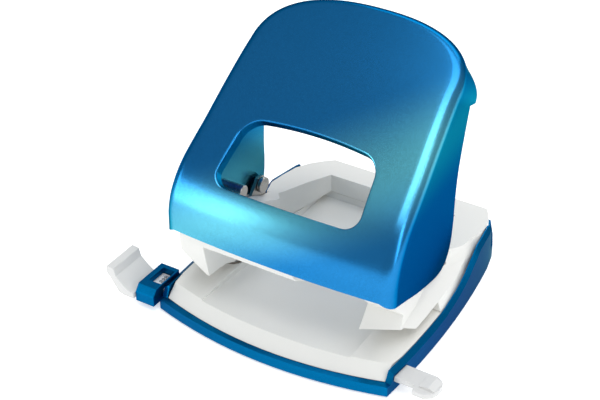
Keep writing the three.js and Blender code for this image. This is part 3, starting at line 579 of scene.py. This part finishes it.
@dataclass
class HandleShell:
    """The pressed sheet handle: crowned front, rolled rim, side flanges and hand opening."""

    finishes: Finishes
    table: float = 10.3
    pivot: tuple[float, float] = (25.0, 33.0)
    sheet: float = 1.3
    roll: float = 5.0
    lip: float = 3.0
    corner_dip: float = 2.8
    dip_reach: float = 8.0
    crown: float = 2.0
    shoulder: float = 88.0
    crest: float = 120.5
    power: float = 2.3
    flange_half: float = 48.28
    taper: float = 0.1018
    lean: float = 0.0174
    line_start: float = 11.0
    window_low: float = 25.0
    window_height: float = 29.5
    window_half: tuple[float, float] = (32.8, 29.7)
    window_round: float = 7.0
    window_arch: float = 3.0
    window_roll: float = 0.9
    window_lip: float = 4.0
    lip_blend: float = 2.6
    edge_round: float = 0.35
    edge_angle: float = 50.0
    line: list[tuple[float, float]] = field(default_factory=lambda: [
        (-35, 19.7), (-34, 30.7), (-33.5, 38.7), (-30.5, 47.7), (-23, 57.7), (-8, 69.7), (6, 81.2),
        (20, 91.7), (32, 98.7), (44, 104.7), (56, 109.7)])
    side_steps: int = 56
    crest_steps: int = 44
    foot_steps: int = 48
    front_rows: int = 16
    bend_steps: int = 6
    roll_rows: int = 10
    flange_rows: int = 12
    halvings: int = 34

    def __post_init__(self) -> None:
        """Samples the side-view line of the front by its length."""
        knots = np.array([(y, self.table + rise) for y, rise in self.line], float)
        self.samples = catmull_rom(knots, 160)
        steps = np.hypot(*np.diff(self.samples, axis=0).T)
        self.lengths = np.concatenate([[0], np.cumsum(steps)])

    def place(self, u: float, v: float, d: float) -> np.ndarray:
        """Point of the handle at u across, v up the front and d inward, in millimetres."""
        at = min(max(v + self.line_start, 0.5), self.lengths[-1] - 0.5)
        y, z = self.at_length(at)
        ahead, behind = self.at_length(at + 0.5), self.at_length(at - 0.5)
        along = (ahead - behind) / np.hypot(*(ahead - behind))
        crown = self.crown * (u / self.flange_half) ** 2
        return np.array([u, y + d * along[1] + crown, z - d * along[0]])

    def at_length(self, at: float) -> np.ndarray:
        """(y, z) of the front line at a length from its lower end."""
        return np.array([np.interp(at, self.lengths, self.samples[:, k]) for k in (0, 1)])

    def flange(self, y: float, z: float) -> float:
        """Half width of the leaning flange plane at (y, z)."""
        return self.flange_half - self.taper * y + self.lean * z

    def half(self, v: float) -> float:
        """Half width of the unrolled sheet at v."""
        folded = self.place(self.flange_half, v, self.roll)
        return self.flange(folded[1], folded[2])

    def rim(self) -> list[dict]:
        """Rim of the sheet from the lower right corner over the crest to the lower left."""
        right = []
        crest_half = self.half(self.shoulder)
        for i in range(self.side_steps):
            v = self.shoulder * i / self.side_steps
            right.append({"u": self.half(v), "v": v, "turn": 0.0})
        for i in range(self.crest_steps + 1):
            angle = math.pi / 2 * i / self.crest_steps
            cosine, sine = max(math.cos(angle), 0.0), math.sin(angle)
            right.append({
                "u": crest_half * cosine ** (2 / self.power),
                "v": self.shoulder + (self.crest - self.shoulder) * sine ** (2 / self.power),
                "turn": angle / (math.pi / 2)})
        for i, entry in enumerate(right):
            before = right[max(i - 1, 0)]
            after = right[i + 1] if i + 1 < len(right) else {"u": -before["u"], "v": before["v"]}
            out = np.array([after["v"] - before["v"], before["u"] - after["u"]])
            entry["out"] = out / np.hypot(*out)
        left = [{**e, "u": -e["u"], "out": e["out"] * (-1, 1)} for e in reversed(right[:-1])]
        return right + left

    def edge_curve(self) -> tuple[np.ndarray, np.ndarray]:
        """Free edge of the flange: the v values of its knots and its smooth (y, z) samples."""
        py, pz = self.pivot
        corner = self.place(self.flange_half, 0, self.roll)
        t = self.table
        knots = [
            (0, corner[1], corner[2] - self.corner_dip), (7, -17, t + 23.8), (14, -4, t + 18.9),
            (20, 7, t + 15.5), (25, py - 9, pz - 9.5), (28.5, py - 3, pz - 9.9), (32, py + 2.5, pz - 7.6),
            (36, py + 5.8, pz - 2), (41, py + 7, pz + 7), (49, 32, t + 40.7), (60, 33, t + 54),
            (72, 36.5, t + 67.5), (self.shoulder, 40.5, t + 80)]
        table = np.array(knots, float)
        return table[:, 0], catmull_rom(table[:, 1:], 20)

    def free_edge(self, entry: dict, knots: np.ndarray, curve: np.ndarray) -> np.ndarray:
        """Where the flange or the crest lip ends, for one entry of the rim.

        Args:
            entry: the rim entry.
            knots: v values of the edge's knots.
            curve: smooth (y, z) samples of the edge.

        Returns:
            The point in millimetres.
        """
        side = 1 if entry["u"] >= 0 else -1
        if entry["turn"] == 0:
            at = np.interp(entry["v"], knots, np.arange(len(knots)))
            share = at / (len(knots) - 1) * (len(curve) - 1)
            y, z = (np.interp(share, np.arange(len(curve)), curve[:, k]) for k in (0, 1))
            return np.array([side * self.flange(y, z), y, z])
        root = self.place(entry["u"], entry["v"], self.roll)
        shoulder = self.place(self.half(self.shoulder), self.shoulder, self.roll)
        deep = np.array([0, curve[-1][0] - shoulder[1], curve[-1][1] - shoulder[2]])
        shallow = self.place(entry["u"], entry["v"], self.roll + self.lip) - root
        early = min(entry["turn"] * self.lip_blend, 1)
        blend = early ** 2 * (3 - 2 * early)
        return root + deep * (1 - blend) + shallow * blend

    def window(self, angle: float) -> np.ndarray:
        """Edge of the hand opening in a direction from its centre, as (u, v)."""
        half_high = self.window_height / 2
        across, up = math.cos(angle), math.sin(angle)
        near, far = 0.0, self.window_half[0] * 2
        for _ in range(self.halvings):
            middle = (near + far) / 2
            u, v = abs(across * middle), up * middle
            lift = (v + half_high) / self.window_height
            side = self.window_half[0] + (self.window_half[1] - self.window_half[0]) * lift
            top = half_high + self.window_arch * (1 - (u / side) ** 2)
            cu = u - (side - self.window_round)
            cv = v - (top - self.window_round) if v > 0 else -v - (half_high - self.window_round)
            inside = (math.hypot(cu, cv) < self.window_round if cu > 0 and cv > 0
                      else cu < self.window_round and cv < self.window_round)
            near, far = (middle, far) if inside else (near, middle)
        return np.array([across * near, self.window_low + half_high + up * near])

    def front_outline(self, rim: list[dict]) -> list[np.ndarray]:
        """Closed line where the front ends: inside the rolled rim, then along the lower edge.

        Args:
            rim: the rim entries.

        Returns:
            The (u, v) points of the line.
        """
        loop = [np.array([e["u"], e["v"]]) - e["out"] * self.roll for e in rim]
        loop[0][1] = loop[-1][1] = 0
        corner = loop[0][0]
        return loop + [np.array([-corner + 2 * corner * i / self.foot_steps, 0.0])
                       for i in range(1, self.foot_steps)]

    def front_grid(self, loop: list[np.ndarray]) -> list[list[np.ndarray]]:
        """Rows of points from the lip of the hand opening, round its bend, out to the front's end.

        Args:
            loop: the (u, v) points where the front ends.

        Returns:
            The rows, each with one point for every point of the loop.
        """
        middle = self.window_low + self.window_height / 2
        edge = np.array([self.window(math.atan2(v - middle, u)) for u, v in loop])
        tangent = np.roll(edge, -1, axis=0) - np.roll(edge, 1, axis=0)
        outward = np.stack([tangent[:, 1], -tangent[:, 0]], axis=1)
        outward /= np.hypot(*outward.T)[:, None]
        bend = self.window_roll
        rows = [[self.place(p[0], p[1], depth) for p in edge]
                for depth in (bend + self.window_lip, bend + self.window_lip / 2)]
        for i in range(self.bend_steps + 1):
            angle = math.pi / 2 * i / self.bend_steps
            shift, depth = bend * (1 - math.cos(angle)), bend * (1 - math.sin(angle))
            rows.append([self.place(*(p + n * shift), depth) for p, n in zip(edge, outward)])
        inner = edge + outward * bend
        for i in range(1, self.front_rows + 1):
            share = i / self.front_rows
            rows.append([self.place(*(a + (b - a) * share), 0) for a, b in zip(inner, loop)])
        return rows

    def flange_grid(self, rim: list[dict]) -> list[list[np.ndarray]]:
        """Rows of points round the rolled rim and down the flanges to their free edge.

        Args:
            rim: the rim entries.

        Returns:
            The rows, each with one point for every rim entry.
        """
        knots, curve = self.edge_curve()
        rows = []
        for r in range(1, self.roll_rows + self.flange_rows + 1):
            turn = math.pi / 2 * min(r / self.roll_rows, 1)
            share = max(r - self.roll_rows, 0) / self.flange_rows
            reach = self.roll * (1 - math.sin(turn))
            row = []
            for entry in rim:
                at = np.array([entry["u"], entry["v"]]) - entry["out"] * reach
                start = self.place(at[0], max(at[1], 0), self.roll * (1 - math.cos(turn)))
                near_corner = (1 - min(entry["v"] / self.dip_reach, 1)) ** 2
                start[2] -= self.corner_dip * math.sin(turn) * near_corner
                row.append(start + (self.free_edge(entry, knots, curve) - start) * share)
            rows.append(row)
        return rows

    def build(self) -> bpy.types.Object:
        """Makes the handle piece.

        Returns:
            The new object.
        """
        rim = self.rim()
        loop = self.front_outline(rim)
        size, count = len(loop), len(rim)
        front = self.front_grid(loop)
        faces = []
        for r in range(len(front) - 1):
            a, b = r * size, (r + 1) * size
            for k in range(size):
                n = (k + 1) % size
                faces.append((a + k, b + k, b + n, a + n))
        points = [p for row in front for p in row]
        above = (len(front) - 1) * size
        for row in self.flange_grid(rim):
            base = len(points)
            points += row
            faces += [(above + k, base + k, base + k + 1, above + k + 1) for k in range(count - 1)]
            above = base
        piece = new_piece("handle_cover", grid_mesh("handle_cover", np.array(points) * MM, faces))
        wall = piece.modifiers.new("wall", "SOLIDIFY")
        wall.thickness = self.sheet * MM
        wall.offset = -1
        wall.use_quality_normals = True
        soften_edges(piece, self.edge_round * MM, angle=self.edge_angle, segments=2)
        finish_piece(piece, self.finishes.of(Slot.BLUE_METAL), Body.HANDLE)
        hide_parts("handle_shell")
        return piece


def catmull_rom(knots: np.ndarray, steps: int) -> np.ndarray:
    """Smooth curve through knots.

    Args:
        knots: an (n, 2) array.
        steps: samples between two knots.

    Returns:
        An array of samples, the last knot included.
    """
    padded = np.vstack([knots[:1], knots, knots[-1:]])
    samples = []
    for i in range(len(knots) - 1):
        p0, p1, p2, p3 = padded[i:i + 4]
        for t in np.arange(steps) / steps:
            m1, m2 = (p2 - p0) / 2, (p3 - p1) / 2
            samples.append((2 * p1 - 2 * p2 + m1 + m2) * t ** 3
                           + (-3 * p1 + 3 * p2 - 2 * m1 - m2) * t ** 2 + m1 * t + p1)
    return np.array(samples + [knots[-1]])


# ---- base, cover and small parts ----------------------------------------------------


@dataclass
class Housing:
    """The blue pan, the white table and cover, the tray and the feet."""

    finishes: Finishes

    def build(self) -> None:
        """Makes every piece of the housing."""
        parts = [
            ("base_pan", "blue_pan", 0.6 * MM, Body.BASE, Slot.BLUE_PLASTIC),
            ("base_body", "paper_table", 0.5 * MM, Body.BASE, Slot.WHITE_PLASTIC),
            ("mechanism_cover", "white_cover", 0.6 * MM, Body.BASE, Slot.WHITE_PLASTIC),
            ("chip_tray", "chip_drawer", 0.4 * MM, Body.TRAY, Slot.BLUE_PLASTIC),
        ]
        for node, name, width, body, slot in parts:
            piece = refined_copy(node, name, width)
            finish_piece(piece, self.finishes.of(slot), body)
        for row in ("front", "rear"):
            for word in SIDES:
                node = f"foot_{row}_{word}"
                piece = refined_copy(node, f"rubber_{node}", 0.3 * MM)
                finish_piece(piece, self.finishes.of(Slot.RUBBER), Body.BASE)


@dataclass
class PaperStop:
    """The blue sleeve, the sliding rail with its fin, and the printed strip."""

    finishes: Finishes
    first_word: float = 5.4 * MM
    word_pitch: float = 21 * MM
    off_middle: float = 0.8 * MM
    letter: float = 3.5 * MM
    ink_depth: float = 0.02 * MM
    ink_lift: float = 0.03 * MM

    def build(self) -> None:
        """Makes the pieces of the paper stop."""
        sleeve = refined_copy("format_sleeve", "format_sleeve_blue", 0.2 * MM)
        finish_piece(sleeve, self.finishes.of(Slot.BLUE_PLASTIC), Body.BASE)
        rail = refined_copy("format_rail", "stop_rail", 0.5 * MM, angle=24)
        finish_piece(rail, self.finishes.of(Slot.GREY_PLASTIC), Body.STOP)
        strip = refined_copy("format_label", "size_strip", 0.05 * MM, segments=1)
        finish_piece(strip, self.finishes.of(Slot.LABEL), Body.STOP)
        self.print_sizes()

    def print_sizes(self) -> None:
        """Prints the paper sizes along the strip, the one in use under the opening."""
        low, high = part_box("format_label")
        sleeve_low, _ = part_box("format_sleeve")
        first = sleeve_low.x + self.first_word
        middle = (low.y + high.y) / 2 + self.off_middle
        for i, text in enumerate(("888", "A4", "A5", "A6")):
            self.stamp(text, Vector((first + i * self.word_pitch, middle, high.z)), i)

    def stamp(self, text: str, centre: Vector, number: int) -> None:
        """Makes one printed word as a thin mesh lying on the strip.

        Args:
            text: the word.
            centre: its middle on the strip.
            number: its place along the strip, for its name.
        """
        curve = bpy.data.curves.new(f"size_{number}", "FONT")
        curve.body = text
        curve.size = self.letter
        curve.extrude = self.ink_depth
        curve.align_x = "CENTER"
        curve.align_y = "CENTER"
        writing = bpy.data.objects.new(f"size_{number}", curve)
        bpy.context.scene.collection.objects.link(writing)
        bpy.context.view_layer.update()
        graph = bpy.context.evaluated_depsgraph_get()
        mesh = bpy.data.meshes.new_from_object(writing.evaluated_get(graph))
        bpy.data.objects.remove(writing)
        mesh.transform(Matrix.Translation(centre + Vector((0, 0, self.ink_lift)))
                       @ Matrix.Rotation(math.pi / 2, 4, "Z"))
        piece = new_piece(f"printed_size_{number}", mesh)
        finish_piece(piece, self.finishes.ink, Body.STOP)


@dataclass
class HandleLock:
    """The grey locking slide on the right."""

    finishes: Finishes

    def build(self) -> None:
        """Makes the slide."""
        piece = refined_copy("lock_slide", "lock_tab", 0.45 * MM, angle=24)
        finish_piece(piece, self.finishes.of(Slot.GREY_PLASTIC), Body.LOCK)


@dataclass
class Mechanism:
    """Steel frames, dies, punches, pins, screws and the coiled return springs."""

    finishes: Finishes
    wire: float = 0.8 * MM
    turns: float = 7.5
    squeeze: float = 7.4 * MM  # a little over the punch's stroke

    def build(self) -> None:
        """Makes the steel pieces of both heads."""
        steel = self.finishes.of(Slot.STEEL)
        for word in SIDES:
            punch = Body.PUNCH_LEFT if word == "left" else Body.PUNCH_RIGHT
            for node, body, width in (
                ("punch_frame", Body.BASE, 0.15), ("die_plate", Body.BASE, 0.2),
                ("punch_pin", punch, 0.2), ("spring_clip", punch, 0.12),
                ("pivot_pin", Body.HANDLE, 0.35), ("press_pin", Body.HANDLE, 0.4),
                ("cover_screw_front", Body.BASE, 0.2), ("cover_screw_rear", Body.BASE, 0.2),
            ):
                piece = refined_copy(f"{node}_{word}", f"steel_{node}_{word}", width * MM, segments=2)
                finish_piece(piece, steel, body)
            self.build_spring(word)
        pin = refined_copy("tray_hinge_pin", "tray_wire", 0.1 * MM, segments=1)
        finish_piece(pin, steel, Body.BASE)

    def spring_tree(self) -> bpy.types.NodeTree:
        """Geometry tree of a coil: a spiral swept with a round wire.

        Returns:
            The geometry node tree.
        """
        tree = bpy.data.node_groups.new("coil_spring", "GeometryNodeTree")
        for label, kind in (("Radius", "NodeSocketFloat"), ("Height", "NodeSocketFloat"),
                            ("Turns", "NodeSocketFloat"), ("Wire", "NodeSocketFloat"),
                            ("Place", "NodeSocketVector"), ("Material", "NodeSocketMaterial")):
            tree.interface.new_socket(label, in_out="INPUT", socket_type=kind)
        tree.interface.new_socket("Geometry", in_out="OUTPUT", socket_type="NodeSocketGeometry")
        make = Nodes(tree)
        source = make.add("NodeGroupInput")
        result = make.add("NodeGroupOutput")
        spiral = make.add("GeometryNodeCurveSpiral", Resolution=28)
        ring = make.add("GeometryNodeCurvePrimitiveCircle", Resolution=10)
        sweep = make.add("GeometryNodeCurveToMesh")
        sweep.inputs["Fill Caps"].default_value = True
        move = make.add("GeometryNodeTransform")
        smooth = make.add("GeometryNodeSetShadeSmooth")
        paint = make.add("GeometryNodeSetMaterial")
        real = make.add("GeometryNodeRealizeInstances")
        make.link(source.outputs["Radius"], spiral.inputs["Start Radius"])
        make.link(source.outputs["Radius"], spiral.inputs["End Radius"])
        make.link(source.outputs["Height"], spiral.inputs["Height"])
        make.link(source.outputs["Turns"], spiral.inputs["Rotations"])
        make.link(source.outputs["Wire"], ring.inputs["Radius"])
        make.link(spiral.outputs[0], sweep.inputs["Curve"])
        make.link(ring.outputs[0], sweep.inputs["Profile Curve"])
        make.link(sweep.outputs[0], move.inputs["Geometry"])
        make.link(source.outputs["Place"], move.inputs["Translation"])
        make.link(move.outputs[0], smooth.inputs[0])
        make.link(smooth.outputs[0], real.inputs[0])
        make.link(real.outputs[0], paint.inputs["Geometry"])
        make.link(source.outputs["Material"], paint.inputs["Material"])
        make.link(paint.outputs[0], result.inputs[0])
        return tree

    def build_spring(self, word: str) -> None:
        """Makes one return spring.

        Args:
            word: left or right.
        """
        node = f"return_spring_{word}"
        low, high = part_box(node)
        outer = (high.x - low.x) / 2
        half_wire = self.wire / 2
        tree = bpy.data.node_groups.get("coil_spring") or self.spring_tree()
        piece = new_piece(f"coil_{node}", bpy.data.meshes.new(node))
        maker = piece.modifiers.new("coil", "NODES")
        maker.node_group = tree
        values = {
            "Radius": outer - half_wire, "Height": high.z - low.z - self.wire, "Turns": self.turns,
            "Wire": half_wire, "Material": self.finishes.of(Slot.STEEL),
            "Place": ((low.x + high.x) / 2, (low.y + high.y) / 2, low.z + half_wire),
        }
        for item in tree.interface.items_tree:
            if item.in_out == "INPUT":
                maker[item.identifier] = values[item.name]
        settle(piece)
        finish_piece(piece, self.finishes.of(Slot.STEEL), Body.BASE)
        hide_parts(node)
        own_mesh(piece)


# ---- studio -------------------------------------------------------------------------


@dataclass
class Studio:
    """Floor, soft lights and the camera."""

    eye: tuple[float, float, float] = (0.26067, -0.44021, 0.39046)
    back: tuple[float, float, float] = (0.4341, -0.7133, 0.5503)
    roll: float = 0.192
    lens: float = 92.57

    def build(self) -> None:
        """Makes the floor, the lights and the camera."""
        self.place_camera()
        self.lay_floor()
        self.light()

    def place_camera(self) -> None:
        """Puts the camera at its viewing angle."""
        data = bpy.data.cameras.new("view")
        data.lens = self.lens
        data.sensor_width = 36
        data.clip_start = 0.01
        camera = bpy.data.objects.new("view", data)
        bpy.context.scene.collection.objects.link(camera)
        back = Vector(self.back).normalized()
        right = Vector((0, 0, 1)).cross(back).normalized()
        up = back.cross(right)
        turn = math.radians(self.roll)
        across = right * math.cos(turn) + up * math.sin(turn)
        above = up * math.cos(turn) - right * math.sin(turn)
        camera.matrix_world = Matrix((
            (across.x, above.x, back.x, self.eye[0]), (across.y, above.y, back.y, self.eye[1]),
            (across.z, above.z, back.z, self.eye[2]), (0, 0, 0, 1)))
        bpy.context.scene.camera = camera

    def lay_floor(self) -> None:
        """Lays a large pale floor."""
        mesh = bpy.data.meshes.new("floor")
        size = 6.0
        mesh.from_pydata([(-size, -size, 0), (size, -size, 0), (size, size, 0), (-size, size, 0)],
                         [], [(0, 1, 2, 3)])
        floor = new_piece("floor", mesh)
        material, _, shader = new_material("pale_floor")
        shader.inputs["Base Color"].default_value = (0.9, 0.9, 0.9, 1)
        shader.inputs["Roughness"].default_value = 0.9
        shader.inputs["Emission Color"].default_value = (1, 1, 1, 1)
        shader.inputs["Emission Strength"].default_value = 0.5
        mesh.materials.append(material)

    def light(self) -> None:
        """Hangs four soft panels and a pale sky."""
        world = bpy.data.worlds.new("sky")
        bpy.context.scene.world = world
        world.use_nodes = True
        sky = world.node_tree.nodes["Background"]
        sky.inputs["Color"].default_value = (0.9, 0.95, 1, 1)
        sky.inputs["Strength"].default_value = 0.45
        self.panel("overhead_right", (0.25, 0.05, 1.2), (0, 0, 0.05), 1.3, 1.1, 9.5)
        self.panel("left_front", (-0.95, -0.85, 0.25), (0, 0, 0.08), 0.8, 0.6, 5.0)
        self.panel("right_side", (1.1, -0.35, 0.55), (0, 0, 0.05), 0.25, 0.9, 3)
        self.panel("rear_top", (-0.1, 1.0, 0.9), (0, 0, 0.05), 1.0, 0.5, 3)
        bpy.context.scene.view_settings.view_transform = "Standard"

    def panel(self, name: str, place: tuple, target: tuple, width: float, height: float,
              power: float) -> None:
        """Hangs one soft rectangular light.

        Args:
            name: the light's name.
            place: where it hangs.
            target: what it points at.
            width: its width in metres.
            height: its height in metres.
            power: its power in watts.
        """
        data = bpy.data.lights.new(name, "AREA")
        data.shape = "RECTANGLE"
        data.size, data.size_y = width, height
        data.energy = power
        lamp = bpy.data.objects.new(name, data)
        bpy.context.scene.collection.objects.link(lamp)
        lamp.location = place
        lamp.rotation_euler = (Vector(target) - Vector(place)).to_track_quat("-Z", "Y").to_euler()


def main() -> None:
    """Builds the punch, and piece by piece."""
    logging.basicConfig(level=logging.INFO, format="%(message)s")
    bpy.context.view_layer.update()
    Studio().build()
    finishes = Finishes()
    for part in (HandleShell(finishes), Housing(finishes), PaperStop(finishes),
                 HandleLock(finishes), Mechanism(finishes)):
        part.build()
        log.info("%s is done", type(part).__name__)


if __name__ == "__main__":
    main()
